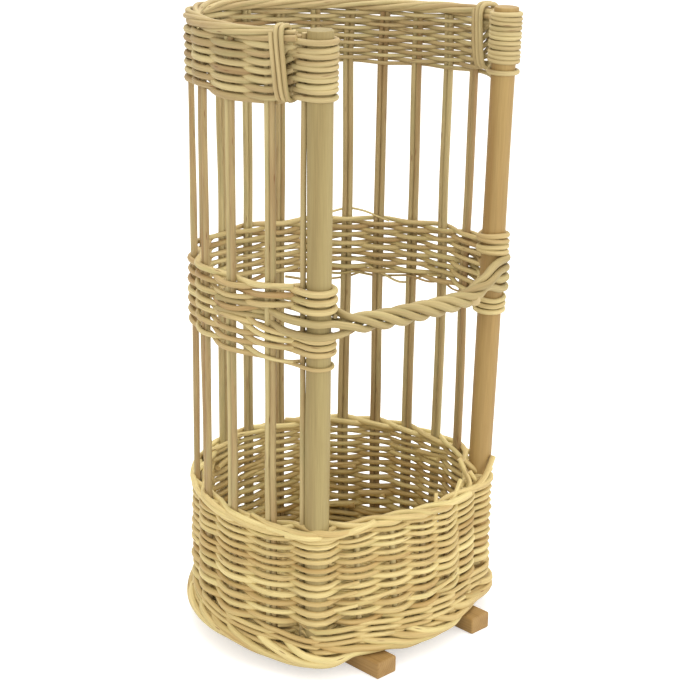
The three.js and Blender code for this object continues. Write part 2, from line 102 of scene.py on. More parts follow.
def planAt(warps, heights):  # a point on the plan, by warp round the basket and by height
    warps, heights = np.broadcast_arrays(np.asarray(warps, float), np.asarray(heights, float))
    w = np.mod(warps, warpTotal)
    reach = plan["ringRadius"] - plan["postInset"] + plan["postLean"] * heights / plan["height"]
    corner = math.radians(plan["postBearing"])
    across = 1 - 2 * (w - rightPost) / (warpTotal - rightPost)
    bulge = plan["footBulge"] + (plan["rimBulge"] - plan["footBulge"]) * heights / plan["tubRim"]
    t = np.minimum(1.0, w / plan["pairs"])
    sweep = (180 + 2 * plan["postBearing"] - plan["lastGap"]) * t
    sweep = sweep + plan["lastGap"] * np.maximum(0.0, w - plan["pairs"])
    drift = plan["drift"] * np.sin(np.pi * t) - plan["crowd"] * np.sin(3 * np.pi * t)
    bearing = np.radians(180 + plan["postBearing"] - sweep - drift)
    ring = plan["ringRadius"] + plan["ringFlare"] * heights / plan["height"]
    radius = reach + (ring - reach) * ease(np.minimum(w, rightPost - w) / plan["postEase"])
    front = w > rightPost
    x = np.where(front, reach * math.cos(corner) * across, radius * np.cos(bearing))
    bow = -reach * math.sin(corner) - bulge * (1 - across ** 2)
    y = np.where(front, bow, radius * np.sin(bearing))
    return np.stack([x, y, heights], axis=-1)


def wallPoints(warps, heights, offsets=0.0, shifts=0.0, feel=0.06):  # offsets go out, shifts along
    along = planAt(warps + feel, heights) - planAt(warps - feel, heights)
    along /= np.linalg.norm(along, axis=-1, keepdims=True)
    out = np.stack([-along[..., 1], along[..., 0], np.zeros_like(along[..., 0])], axis=-1)
    offsets = np.broadcast_to(offsets, along.shape[:-1])[..., None]
    shifts = np.broadcast_to(shifts, along.shape[:-1])[..., None]
    return planAt(warps, heights) + out * offsets + along * shifts


def uprightAt(warps):  # half the thickness that the weavers go round, more at the posts
    w = np.mod(warps, warpTotal)
    near = np.minimum(np.minimum(w, warpTotal - w), np.abs(w - rightPost))
    swell = (1 - np.minimum(near, 1.0) ** 2) ** 2
    return plan["stakeRadius"] + (plan["postRadius"] - plan["stakeRadius"]) * swell


def seeded(own):  # each piece draws from its own seed
    return np.random.default_rng(own["seed"])


def wander(rng, places, spacing, amount):  # slow random drift along a rod
    at = (places - places.min()) / spacing + 1
    low = np.floor(at).astype(int)
    knots = rng.normal(0, amount, low.max() + 2)
    share = ease(at - low)
    return knots[low] * (1 - share) + knots[low + 1] * share


def soften(points, times=1):  # rounds the kinks of a rod's line, ends kept
    points = np.array(points, float)
    for _ in range(times):
        points[1:-1] = (points[:-2] + 2 * points[1:-1] + points[2:]) / 4
    return points


# rods
grainApart = 9000  # how far along its noise a rod's grain starts, by its tone


def rod(points, radius, tone):
    points = np.asarray(points, float)
    radius = np.broadcast_to(radius, len(points)).astype(float)
    return {"points": points, "radius": radius, "tone": float(tone)}


def layRods(name, rods, look, nodes, ring=8):
    rods = list(rods)
    curve = bpy.data.curves.new(name, "CURVE")
    curve.dimensions = "3D"
    curve.bevel_depth = millimetre  # so a point's radius is in millimetres
    curve.bevel_resolution = ring // 2 - 2
    curve.use_fill_caps = True
    for one in rods:
        spline = curve.splines.new("POLY")
        spline.points.add(len(one["points"]) - 1)
        place = one["points"] * millimetre + planCentre
        spline.points.foreach_set("co", np.c_[place, np.ones(len(place))].astype(np.float32).ravel())
        spline.points.foreach_set("radius", one["radius"].astype(np.float32))
        spline.use_smooth = True
    rough = newObject(name + "Line", curve)
    mesh = bpy.data.meshes.new_from_object(rough.evaluated_get(bpy.context.evaluated_depsgraph_get()))
    bpy.data.objects.remove(rough)
    bpy.data.curves.remove(curve)
    mesh.name = name
    markRods(mesh, rods, ring)
    settle(mesh, finish[look], nodes)


def mark(mesh, name, values):  # a value or a place at each point, for the finishes
    kind, field = ("FLOAT", "value") if values.ndim == 1 else ("FLOAT_VECTOR", "vector")
    layer = mesh.attributes.new(name, kind, "POINT")
    layer.data.foreach_set(field, values.astype(np.float32).ravel())


def markRods(mesh, rods, ring):
    # the cut ends come first in the mesh, last rod first, then the rods in their order
    turn = 2 * np.pi * np.arange(ring) / ring
    face = np.stack([np.cos(turn), np.sin(turn)], axis=-1)
    ends, sides = [], []
    for one in rods:
        step = np.linalg.norm(np.diff(one["points"], axis=0), axis=1)
        length = np.r_[0.0, np.cumsum(step)] + grainApart * one["tone"]
        spot = np.zeros((len(length), ring, 4))
        spot[:, :, :2] = one["radius"][:, None, None] * face
        spot[:, :, 2] = length[:, None]
        spot[:, :, 3] = one["tone"]
        sides.append(spot.reshape(-1, 4))
        ends.append(np.concatenate([spot[-1], spot[0]]))
    marks = np.concatenate(ends[::-1] + sides)
    cut = np.zeros(len(marks))
    cut[: 2 * ring * len(rods)] = 1
    mark(mesh, "grainSpace", marks[:, :3] * millimetre)
    mark(mesh, "tone", marks[:, 3])
    mark(mesh, "cutEnd", cut)


def settle(mesh, material, nodes):
    piece = newObject(mesh.name, mesh)
    mesh.materials.clear()
    mesh.materials.append(material)
    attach(piece, "root")
    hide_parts(*nodes)
    return piece


# finishes
def tint(*levels):  # a colour as a screen shows it
    v = np.array(levels) / 255
    linear = np.where(v <= 0.04045, v / 12.92, ((v + 0.055) / 1.055) ** 2.4)
    return (*linear.tolist(), 1.0)


class Wiring:  # short way to place and join nodes
    def __init__(self, tree):
        self.tree = tree

    def node(self, kind, inputs=None, **values):
        made = self.tree.nodes.new("ShaderNode" + kind)
        for name, value in values.items():
            setattr(made, name, value)
        for label, value in (inputs or {}).items():
            self.feed(made.inputs[label], value)
        return made

    def feed(self, socket, value):
        if isinstance(value, bpy.types.NodeSocket):
            self.tree.links.new(value, socket)
        else:
            socket.default_value = value

    def math(self, operation, a, b=0.0, clamp=False):
        return self.node("Math", {0: a, 1: b}, operation=operation, use_clamp=clamp).outputs[0]

    def plus(self, a, b, clamp=False):
        return self.math("ADD", a, b, clamp)

    def times(self, a, b):
        return self.math("MULTIPLY", a, b)

    def span(self, value, low, high, first=0.0, last=1.0):
        ends = {1: low, 2: high, 3: first, 4: last}
        return self.node("MapRange", {0: value, **ends}, clamp=True).outputs[0]

    def mix(self, share, a, b, blend="MIX"):
        sides = {"Factor": share, 6: a, 7: b}
        return self.node("Mix", sides, data_type="RGBA", blend_type=blend).outputs[2]

    def shade(self, colour, level):  # makes a colour darker or lighter
        grey = self.node("CombineColor", {0: level, 1: level, 2: level}).outputs[0]
        return self.mix(1.0, colour, grey, "MULTIPLY")

    def stretch(self, vector, across, along, start=0.0):  # each noise has a start of its own
        scale = (across, across, along)
        place = (start, start * 0.7, start * 1.3)
        return self.node("Mapping", {"Vector": vector, "Scale": scale, "Location": place}).outputs[0]

    def noise(self, vector, detail=2.0, rough=0.5):
        finer = {"Detail": detail, "Roughness": rough}
        return self.node("TexNoise", {"Vector": vector, "Scale": 1.0, **finer}).outputs["Fac"]

    def mark(self, name, output="Fac"):
        return self.node("Attribute", attribute_name=name).outputs[output]

    def seen(self):  # 1 for what is looked at, also in a reflection or through something clear
        rays = self.node("LightPath").outputs
        looked = self.math("MAXIMUM", rays["Is Camera Ray"], rays["Is Glossy Ray"])
        return self.math("MAXIMUM", looked, rays["Is Transmission Ray"])


def newGroup(name, inputs):
    outputs = {"Color": "Color", "Roughness": "Float", "Height": "Float"}
    tree = bpy.data.node_groups.new(name, "ShaderNodeTree")
    for way, sockets in (("INPUT", inputs), ("OUTPUT", outputs)):
        for label, kind in sockets.items():
            tree.interface.new_socket(label, in_out=way, socket_type="NodeSocket" + kind)
    return tree, tree.nodes.new("NodeGroupInput").outputs, tree.nodes.new("NodeGroupOutput").inputs


willowLook = {  # noises: scale across and along, start; spans: from and to, first and last value
    "streaks": (1500, 26), "slow": (90, 7, 3.1), "patch": (150, 16, 8.7), "stain": (120, 20, 15.3),
    "knots": (170, 21, 5.5), "fine": (3, 0.6), "toneShare": 0.75, "slowSpan": (0.35, 0.7, -0.2, 0.45),
    "patchSpan": (0.52, 0.72, 0, 0.5), "stainSpan": (0.62, 0.78), "lineSpan": (0.3, 0.75, 0.76, 1.08),
    "knotSpan": (0.05, 0.13, 1, 0), "knotShare": 0.8, "roughSpan": (0.25, 0.8, 0.66, 0.46),
    "lineHeight": 0.7, "knotHeight": -0.6,
}


def willowGroup(look):  # peeled willow: fine streaks, slow changes of colour, stains, a few knots
    tree, given, result = newGroup("peeledWillow", {
        "Space": "Vector", "Tone": "Float", "Pale": "Color", "Deep": "Color", "Green": "Color",
        "Stain": "Color", "Staining": "Float",
    })
    w = Wiring(tree)
    space = given["Space"]
    streaks = w.noise(w.stretch(space, *look["streaks"]), *look["fine"])
    slow = w.noise(w.stretch(space, *look["slow"]))
    patch = w.noise(w.stretch(space, *look["patch"]))
    stain = w.noise(w.stretch(space, *look["stain"]), *look["fine"])
    depth = w.plus(w.times(given["Tone"], look["toneShare"]), w.span(slow, *look["slowSpan"]), True)
    colour = w.mix(depth, given["Pale"], given["Deep"])
    colour = w.mix(w.span(patch, *look["patchSpan"]), colour, given["Green"])
    colour = w.mix(w.times(w.span(stain, *look["stainSpan"]), given["Staining"]), colour, given["Stain"])
    colour = w.shade(colour, w.span(streaks, *look["lineSpan"]))
    knotPlace = {"Vector": w.stretch(space, *look["knots"]), "Scale": 1.0}
    knots = w.node("TexVoronoi", knotPlace, feature="F1")
    dot = w.span(knots.outputs["Distance"], *look["knotSpan"])
    colour = w.mix(w.times(dot, look["knotShare"]), colour, given["Stain"])
    w.feed(result["Color"], colour)
    w.feed(result["Roughness"], w.span(streaks, *look["roughSpan"]))
    height = w.plus(w.times(streaks, look["lineHeight"]), w.times(dot, look["knotHeight"]))
    w.feed(result["Height"], height)
    return tree


timberLook = {
    "bend": (45, 5, 2.2), "pores": (1100, 22, 4), "broad": (70, 4, 9), "fine": (3, 0.65),
    "bending": 9, "ringShare": 0.34, "broadSpan": (0.35, 0.7, 0, 0.55),
    "poreSpan": (0.3, 0.75, 0.84, 1.06), "roughSpan": (0.25, 0.8, 0.62, 0.44),
    "poreHeight": 0.6, "ringHeight": 0.25,
}


def timberGroup(look):  # sawn or peeled wood: growth rings about the pith, fine pores, end grain
    tree, given, result = newGroup("timberGrain", {
        "Space": "Vector", "Pale": "Color", "Deep": "Color", "Rings": "Float",
    })
    w = Wiring(tree)
    space = given["Space"]
    bend = w.noise(w.stretch(space, *look["bend"]))
    parts = w.node("SeparateXYZ", {0: space}).outputs
    squares = [w.math("POWER", parts[axis], 2.0) for axis in (0, 1)]
    reach = w.math("SQRT", w.plus(*squares))
    phase = w.plus(w.times(reach, given["Rings"]), w.times(bend, look["bending"]))
    rings = w.times(w.plus(w.math("SINE", phase), 1.0), 0.5)
    pores = w.noise(w.stretch(space, *look["pores"]), *look["fine"])
    broad = w.noise(w.stretch(space, *look["broad"]))
    late = w.times(w.math("POWER", rings, 2.0), look["ringShare"])
    colour = w.mix(w.plus(late, w.span(broad, *look["broadSpan"]), True), given["Pale"], given["Deep"])
    w.feed(result["Color"], w.shade(colour, w.span(pores, *look["poreSpan"])))
    w.feed(result["Roughness"], w.span(pores, *look["roughSpan"]))
    height = w.plus(w.times(pores, look["poreHeight"]), w.times(rings, look["ringHeight"]))
    w.feed(result["Height"], height)
    return tree


def finishFrom(name, group, values, bump, depth, cut=None):
    material = bpy.data.materials.new(name)
    material.use_nodes = True
    tree = material.node_tree
    w = Wiring(tree)
    look = w.node("Group", {"Space": w.mark("grainSpace", "Vector"), **values}, node_tree=group)
    colour = look.outputs["Color"]
    if cut:  # rods have a tone of their own and cut ends
        w.feed(look.inputs["Tone"], w.mark("tone"))
        colour = w.mix(w.mark("cutEnd"), colour, cut)
    relief = w.node("Bump", {"Strength": bump, "Distance": depth, "Height": look.outputs["Height"]})
    shader = tree.nodes["Principled BSDF"].inputs
    shader["Specular IOR Level"].default_value = satin
    w.feed(shader["Base Color"], colour)
    w.feed(shader["Roughness"], look.outputs["Roughness"])
    w.feed(shader["Normal"], relief.outputs[0])
    return material


satin = 0.32
stain = tint(112, 68, 38)
willowRelief = 0.0006
timberRelief = 0.0005
willows = {  # pale, deep and greenish colour, colour of a cut end, amount of stains, bump
    "weave": ((226, 209, 149), (184, 154, 97), (190, 180, 116), (226, 204, 150), 0.55, 0.3),
    # the band, head and handle rows are darker copies of the weave's colours: painted shade, for the light
    # that falls off toward the top of the basket and, on the handle, for the dark gaps between its twisted
    # rods
    "band": ((212, 195, 140), (170, 138, 90), (174, 167, 110), (212, 192, 142), 0.6, 0.3),
    "head": ((202, 186, 136), (158, 130, 88), (164, 158, 108), (206, 188, 140), 0.6, 0.3),
    "handle": ((188, 172, 121), (146, 122, 80), (154, 148, 98), (190, 172, 130), 0.6, 0.35),
    "stake": ((192, 177, 128), (160, 132, 90), (160, 154, 108), (198, 180, 130), 0.45, 0.3),
}
timbers = {  # name of the material, pale and deep colour, closeness of the rings, bump
    "postLeft": ("postWoodLeft", (162, 147, 99), (142, 123, 79), 1500, 0.2),
    "postRight": ("postWoodRight", (173, 147, 93), (153, 122, 73), 1500, 0.2),
    "runner": ("runnerWood", (170, 138, 85), (145, 112, 66), 1900, 0.25),
}
willow = willowGroup(willowLook)
timber = timberGroup(timberLook)
finish = {}
for name, (pale, deep, green, cut, staining, bump) in willows.items():
    values = {"Pale": tint(*pale), "Deep": tint(*deep), "Green": tint(*green)}
    values |= {"Stain": stain, "Staining": staining}
    finish[name] = finishFrom(name + "Willow", willow, values, bump, willowRelief, tint(*cut))
for name, (label, pale, deep, rings, bump) in timbers.items():
    values = {"Pale": tint(*pale), "Deep": tint(*deep), "Rings": rings}
    finish[name] = finishFrom(label, timber, values, bump, timberRelief)
print("finishes:", ", ".join(finish))

# solid wood
woodEdges = {"long": 0.1, "sharp": 1.0, "segments": 3, "profile": 0.5}


def longEdges(bm, axis):
    return [e for e in bm.edges if abs((e.verts[0].co - e.verts[1].co)[axis]) > woodEdges["long"]]


def roundEdges(bm, width):
    sharp = [e for e in bm.edges if e.is_manifold and e.calc_face_angle() > woodEdges["sharp"]]
    bmesh.ops.bevel(
        bm, geom=sharp, offset=width, offset_type="OFFSET", segments=woodEdges["segments"],
        profile=woodEdges["profile"], affect="EDGES", material=-1)


def meshFrom(bm, name):
    mesh = bpy.data.meshes.new(name)
    bm.to_mesh(mesh)
    bm.free()
    return mesh


def settleWood(mesh, grain, place, material, node):
    mark(mesh, "grainSpace", grain)
    mesh.transform(place)
    mesh.shade_smooth()
    piece = settle(mesh, material, [node])
    piece.modifiers.new("Firm", "WEIGHTED_NORMAL").keep_sharp = True


runnerBars = {"edge": 0.0022, "cuts": 6, "pith": (0.02, -0.012), "grain": {"left": 3, "right": 7}}
for side in ("left", "right"):
    low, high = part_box("runner_" + side)
    bm = bmesh.new()
    bmesh.ops.create_cube(bm, size=1.0)
    bmesh.ops.scale(bm, vec=high - low, verts=bm.verts)
    bmesh.ops.subdivide_edges(bm, edges=longEdges(bm, 1), cuts=runnerBars["cuts"], use_grid_fill=True)
    roundEdges(bm, runnerBars["edge"])
    mesh = meshFrom(bm, "runnerBar" + side.title())
    across, along, up = np.array([v.co[:] for v in mesh.vertices]).T
    pithAcross, pithUp = runnerBars["pith"]
    grain = np.c_[across + pithAcross, up + pithUp, along + runnerBars["grain"][side]]
    place = Matrix.Translation((low + high) / 2)
    settleWood(mesh, grain, place, finish["runner"], "runner_" + side)
print("runners laid")

# posts, and the thin rod beside each
posts = {}
postSticks = {
    "tops": {"Left": 704.5, "Right": 702.5}, "edge": 0.0014, "facets": 40, "cuts": 36, "bow": 0.0007,
    "uneven": 0.25 / 13, "lobes": 2, "knobs": 17, "bends": (7, 6), "pith": (0.001, 0.002),
    "grain": 5, "seed": 21,
}
postRods = {"below": 4, "points": 40, "sway": (90, 0.25), "uneven": (120, 0.03), "tones": (0.3, 0.7)}
for side, warp, neighbour in (("Left", 0, 1), ("Right", rightPost, rightPost - 1)):
    rng = np.random.default_rng(postSticks["seed"] + warp)
    height = postSticks["tops"][side]
    foot = planAt(warp, plan["floorOfTub"])
    top = planAt(warp, height)
    hand = neighbour - warp
    toStakes = planAt(neighbour, 0.0) - planAt(warp, 0.0)
    toStakes /= np.linalg.norm(toStakes)
    outer = np.array([-toStakes[1], toStakes[0], 0.0]) * hand
    posts[side] = {"warp": warp, "toStakes": toStakes, "outer": outer, "cross": warp + hand * halfWarp}
    length = float(np.linalg.norm(top - foot)) * millimetre
    thick = plan["postRadius"] * millimetre
    bm = bmesh.new()
    bmesh.ops.create_cone(
        bm, cap_ends=True, segments=postSticks["facets"], radius1=thick, radius2=thick, depth=length)
    bmesh.ops.subdivide_edges(bm, edges=longEdges(bm, 2), cuts=postSticks["cuts"])
    roundEdges(bm, postSticks["edge"])
    for v in bm.verts:
        v.co.z += length / 2
    grain = np.array([v.co[:] for v in bm.verts]) + (*postSticks["pith"], postSticks["grain"] + warp)
    turn = rng.uniform(0, 6, 4)
    for v in bm.verts:  # a stick is never quite straight or round
        around = math.atan2(v.co.y, v.co.x)
        uneven = math.sin(postSticks["lobes"] * around + turn[0])
        uneven += math.sin(postSticks["knobs"] * v.co.z + turn[1])
        grow = 1 + postSticks["uneven"] * uneven
        sway = postSticks["bow"] * math.sin(math.pi * v.co.z / length)
        for axis, bends in enumerate(postSticks["bends"]):
            v.co[axis] = v.co[axis] * grow + sway * math.sin(bends * v.co.z + turn[2 + axis])
    lean = Vector(top - foot).to_track_quat("Z", "Y").to_matrix().to_4x4()
    place = Matrix.Translation(Vector(foot * millimetre + planCentre)) @ lean
    mesh = meshFrom(bm, "postStick" + side)
    settleWood(mesh, grain, place, finish["post" + side], "post_" + side.lower())
    z = np.linspace(plan["floorOfTub"], height - postRods["below"], postRods["points"])
    line = planAt(warp, z) + toStakes * (plan["rodReach"] + wander(rng, z, *postRods["sway"])[:, None])
    size = plan["rodRadius"] * (1 + wander(rng, z, *postRods["uneven"]))
    rods = [rod(line, size, rng.uniform(*postRods["tones"]))]
    layRods("postRod" + side, rods, "stake", ["post_rod_" + side.lower()], 12)
print("posts stood")

headTilt = (
    [0, 2, 4, 5, 6, 7, 8, 9, 10, 11, 12, 13, 14, 15],
    [4, 4, 3.5, 2.5, 0, -3, -5.5, -7.5, -8, -8.5, -7.5, -5.5, -4, -3],
)


def headLift(warps):  # the head sits lower at the back than at the left
    return np.interp(warps, *headTilt)


# stakes
stakeRods = {
    "top": 684.5, "frontTop": 162, "butt": 3.45, "tip": 3.1, "points": 30, "frontPoints": 10,
    "close": 0.95, "away": (150, 0.8), "aside": (170, 0.8), "uneven": (90, 0.03), "skew": (120, 0.4),
    "free": (170, 460), "foot": (40, 120), "head": (690, -60), "tones": (-0.2, 1.2), "seed": 3,
    "strays": {6: 3.3, 10: -2.6, 11: -2.2, 12: -0.6, 13: 2, 14: 1.6},  # pairs off their place
    "leans": {4: 1.7, 5: -2.7},  # and pairs that lean out or in between the bands
}
rng = seeded(stakeRods)
for warp in range(1, plan["pairs"] + 1):
    z = np.linspace(plan["floorOfTub"], stakeRods["top"] + float(headLift(warp)), stakeRods["points"])
    t = (z - z[0]) / (z[-1] - z[0])
    free = np.sin(np.pi * ramp(z, *stakeRods["free"]))  # they sway where no band holds them
    away = wander(rng, z, *stakeRods["away"]) * free
    aside = wander(rng, z, *stakeRods["aside"]) * free
    held = slope(z, *stakeRods["foot"]) * slope(z, *stakeRods["head"])
    aside = aside + stakeRods["strays"].get(warp, 0.0) * held
    away = away + stakeRods["leans"].get(warp, 0.0) * held
    for mate, hand in (("a", -1), ("b", 1)):
        size = stakeRods["butt"] + (stakeRods["tip"] - stakeRods["butt"]) * t
        size = size * (1 + wander(rng, z, *stakeRods["uneven"]))
        skew = wander(rng, z, *stakeRods["skew"]) * free
        line = wallPoints(warp, z, away + hand * skew, aside + hand * size * stakeRods["close"])
        name = "%02d%s" % (warp, mate)
        rods = [rod(line, size, rng.uniform(*stakeRods["tones"]))]
        layRods("stakeRod" + name, rods, "stake", ["stake_" + name], 10)
for number in range(1, plan["frontStakes"] + 1):
    z = np.linspace(plan["floorOfTub"], stakeRods["frontTop"], stakeRods["frontPoints"])
    rods = [rod(wallPoints(rightPost + number, z), stakeRods["butt"], rng.uniform())]
    name = "frontStakeRod%d" % number
    layRods(name, rods, "stake", ["front_stake_%d" % number], 10)
print("stakes stood")

# tub: over and under on every upright, above four rounds of three-rod wale
rimShape = (  # how far the rim lies above or below its mean height, by warp
    [0, 0.5, 1, 3, 6, 9, 12, 14.4, 15, 15.5, 16.3, 17.1, 17.8, 18.4, 19.5, 20.1, 20.7, 21],
    [4, 2, 0.5, 2, 5, 5, 2, 0, -3, -8, -9, -9.5, -7, -4, 0.5, -0.5, 1, 4],
)
rowSag = {  # waves: height, number round the tub, start
    "low": (40, 60), "high": (176, -25), "full": (50, 115), "broad": (1.1, 2, 0.6), "middle": (0.8, 5),
    "drift": 35, "fine": (0.5, 9, 2),
}
footHang = [  # depth, and the warps where it starts and ends
    (6.2, (20.25, 0.5), (22.9, -1)),
    (3.6, (16.65, 0.5), (19.35, -0.5)),
]


def swing(turn, amount, count, start):
    return amount * np.sin(count * turn + start)


def sag(warps, heights):  # rows that were beaten down unevenly
    w = np.mod(warps, warpTotal)
    turn = 2 * np.pi * w / warpTotal
    loose = ramp(heights, *rowSag["low"]) * ramp(heights, *rowSag["high"])
    waves = swing(turn, *rowSag["broad"]) + swing(turn, *rowSag["middle"], heights / rowSag["drift"])
    waves = waves + swing(turn, *rowSag["fine"])
    full = ramp(heights, *rowSag["full"])
    return loose * waves + full * np.interp(w, *rimShape)


def footDroop(warps):  # the border hangs a little beside the runners
    w = np.mod(warps - firstFront, warpTotal) + firstFront
    return sum(depth * (slope(w, *start) * slope(w, *end)) for depth, start, end in footHang)


def strandPhase(s, number, strands):  # strands take turns to go outside
    return 2 * np.pi * (s - number - halfWarp) / strands


tubWeave = {
    "bottom": 53.5, "top": 164, "pitchLow": 5.6, "pitchTop": 3.95, "fullness": 1.3, "steps": 8,
    "rodWarps": (13, 24), "butt": 1.08, "taper": 0.16, "uneven": (2.5, 0.09), "flat": 0.84, "tuck": 3.5,
    "lift": 1.6, "unrest": (1.3, 0.6), "seed": 11,
}
tubTips = {  # ends left outside: places by warp and height
    "length": 0.9, "points": 9, "radius": (2.6, 2.2), "out": ([0, 0.5, 0.9], [9.5, 8, 4]), "fall": 6,
    "places": [(20.06, 107), (20.11, 95.7), (20.11, 80.3), (19.1, 88), (17.1, 74)],
}
tubWale = {
    "strands": 3, "rounds": 4, "bottom": 24.3, "pitch": 7.6, "radius": 2.9, "slant": 2.3, "steps": 6,
    "uneven": (4, 0.06), "unrest": (2, 0.4), "droop": 0.6, "droopRounds": 2, "cross": 1.6, "out": 0.15,
}


def weaveRods(own, rng):
    narrowing = own["pitchTop"] - own["pitchLow"]
    rows = 2 * (own["top"] - own["bottom"]) / (own["pitchLow"] + own["pitchTop"])
    start = 1
    while start < rows * warpTotal:
        end = start + 2 * round(rng.uniform(*own["rodWarps"]) / 2)
        s = np.arange(start - halfWarp, end + halfWarp, 1 / own["steps"])
        row = np.clip(s / warpTotal, 0, rows)
        pitch = own["pitchLow"] + narrowing * row / rows
        z = own["bottom"] + own["pitchLow"] * row + narrowing * row ** 2 / (2 * rows)
        taper = own["butt"] - own["taper"] * (s - start) / (end - start)
        thick = pitch / 2 * own["fullness"] * taper * (1 + wander(rng, s, *own["uneven"]))
        lean = (uprightAt(s) + thick) * own["flat"]
        past = np.maximum(np.maximum(start - s, s - end), 0)  # the ends rest on a stake, inside
        offset = np.where(past > 0, -lean - own["tuck"] * past, lean * np.cos(np.pi * s))
        lift = own["lift"] * (np.exp(-((s - start) ** 2)) - np.exp(-((s - end) ** 2)))
        z = z + sag(s, z) + wander(rng, s, *own["unrest"]) + lift
        yield rod(wallPoints(s, z, offset), thick, rng.uniform())
        start = end


def tipRods(own, rng):
    for warp, height in own["places"]:
        s = np.linspace(warp + own["length"], warp, own["points"])
        thick = np.linspace(*own["radius"], own["points"])
        z = height - own["fall"] * (s - warp)
        line = wallPoints(s, z, np.interp(s - warp, *own["out"]))
        yield rod(line, thick, rng.uniform())


def waleRods(own, rng):
    for number in range(own["strands"]):
        s = np.arange(number, own["rounds"] * warpTotal + number, 1 / own["steps"])
        phase = strandPhase(s, number, own["strands"])
        thick = own["radius"] * (1 + wander(rng, s, *own["uneven"]))
        z = own["bottom"] + own["pitch"] * s / warpTotal
        z = z + own["slant"] * np.sin(phase) + wander(rng, s, *own["unrest"])
        z = z - own["droop"] * footDroop(s) * np.clip(1 - s / (own["droopRounds"] * warpTotal), 0, 1)
        offset = (uprightAt(s) + thick) * np.clip(own["cross"] * np.cos(phase) + own["out"], -1, 1)
        yield rod(wallPoints(s, z, offset), thick, rng.uniform())


rng = seeded(tubWeave)
rods = [*weaveRods(tubWeave, rng), *tipRods(tubTips, rng), *waleRods(tubWale, rng)]
layRods("tubWeave", rods, "weave", ["tub_weave"])

footBorder = {
    "rods": 29, "points": 26, "sweep": 2.8, "radius": 4.1, "low": 24.2, "rise": 16, "fall": 2.4,
    "starts": (-0.25, 0.25), "lengths": (0.85, 1.15), "sizes": (0.9, 1.08), "unrest": (0.3, 0.35),
    "taper": ([0, 0.7, 1], [1, 1, 0.75]), "lie": ([0, 0.14, 0.45, 0.75, 1], [-7, 4.5, 5.5, 3.6, 0.8]),
    "droopBy": 0.5, "out": 3.4, "outBy": 0.3, "seed": 5,
}
footRings = {"height": 25.5, "steps": 6, "droop": 0.7, "sides": ((0.35, -1), (1, 0.5)), "tone": 0.9}


def footRods(own, rings):
    rng = seeded(own)
    t = np.linspace(0, 1, own["points"])
    for number in range(own["rods"]):
        start = warpTotal * (number + rng.uniform(*own["starts"])) / own["rods"]
        w = start - own["sweep"] * rng.uniform(*own["lengths"]) * t
        thick = own["radius"] * rng.uniform(*own["sizes"]) * np.interp(t, *own["taper"])
        z = own["low"] + own["rise"] * (1 - t) ** own["fall"] + wander(rng, t, *own["unrest"])
        z = z - footDroop(w) * ease(t / own["droopBy"])
        offset = uprightAt(w) + np.interp(t, *own["lie"]) + own["out"] * ease(t / own["outBy"])
        yield rod(soften(wallPoints(w, z, offset), 2), thick, rng.uniform())
    w = np.arange(0, warpTotal + halfWarp, 1 / rings["steps"])
    for share, out in rings["sides"]:  # the two rings that the border is laid round
        line = wallPoints(w, rings["height"] - rings["droop"] * footDroop(w), uprightAt(w) * share + out)
        yield rod(line, own["radius"], rings["tone"])


layRods("footBorder", footRods(footBorder, footRings), "weave", ["foot_border"], 10)

tubRim = {
    "height": 168.6, "radius": 3.4, "slant": 2.3, "strands": 3, "steps": 8, "butt": 5,
    "taper": (1.08, 1, 0.8), "uneven": (3, 0.04), "unrest": (2, 0.4), "flat": 0.9, "cross": 1.5,
    "out": 0.2, "tones": (0, 0.6), "seed": 8,
    "spans": [(-1, 7.6), (7.2, 14.8), (14.4, 22.6)],  # the rods of a strand, from warp to warp
    "under": 2.5, "underTo": 3, "over": 1.5, "overFrom": 19, "lap": 2,  # the last rod lies on the first
}
rimTips = {  # rods that end above the rim: warps, heights, offsets, thickness
    "points": 4, "tones": (0, 0.5), "places": [
        ([16.3, 15.9, 15.6, 15.38, 15.2, 15.06], [158, 158, 161, 169, 180, 189], [5, 7, 9, 14, 16, 17], 3.3),
        ([15.6, 15.35, 15.15, 15.31, 15.42], [156, 160, 165, 175.5, 185], [-3, 3, 4, -4, -12], 2.9),
        ([16, 15.71, 15.72, 15.75], [156, 163, 177.6, 191.5], [5, 2, -5, -12], 2.8),
        ([15.4, 15.55, 15.62], [158, 168, 176], [6, 3, -1], 2.6),
        ([17.8, 17.4, 17.33, 17.25], [158, 158, 163, 174], [3, 0, -2, -4], 2.3),
        ([16.9, 16.5, 16.38, 16], [157, 160, 163, 171], [3, 0, -2, -5], 2.6),
        ([21.6, 20.88, 20.18, 19.57], [166, 165.5, 167, 171], [11, 14, 9, 6], 3.4),
    ],
}


def rimRods(own, tips):
    rng = seeded(own)
    for number in range(own["strands"]):
        for first, last in own["spans"]:
            s = number + np.arange(first, last, 1 / own["steps"])
            phase = strandPhase(s, number, own["strands"])
            taper = np.interp(s - number, [first, first + own["butt"], last], own["taper"])
            thick = own["radius"] * taper * (1 + wander(rng, s, *own["uneven"]))
            z = own["height"] + own["slant"] * np.sin(phase) + wander(rng, s, *own["unrest"])
            z = z + sag(s, np.full_like(s, own["height"]))
            under = own["under"] * ease((own["underTo"] - s + number) / own["lap"])
            over = own["over"] * ease((s - number - own["overFrom"]) / own["lap"])
            side = np.clip(own["cross"] * np.cos(phase) + own["out"], -1, 1)
            line = wallPoints(s, z - under + over, (uprightAt(s) + thick * own["flat"]) * side)
            yield rod(soften(line), thick, rng.uniform(*own["tones"]))
    for warps, heights, offsets, thick in tips["places"]:
        t = np.linspace(0, len(warps) - 1, tips["points"] * len(warps))
        w, z, offset = (np.interp(t, range(len(warps)), v) for v in (warps, heights, offsets))
        yield rod(soften(wallPoints(w, z, offset), 3), thick, rng.uniform(*tips["tones"]))


layRods("tubRim", rimRods(tubRim, rimTips), "weave", ["tub_rim_outer", "tub_rim_inner"], 10)

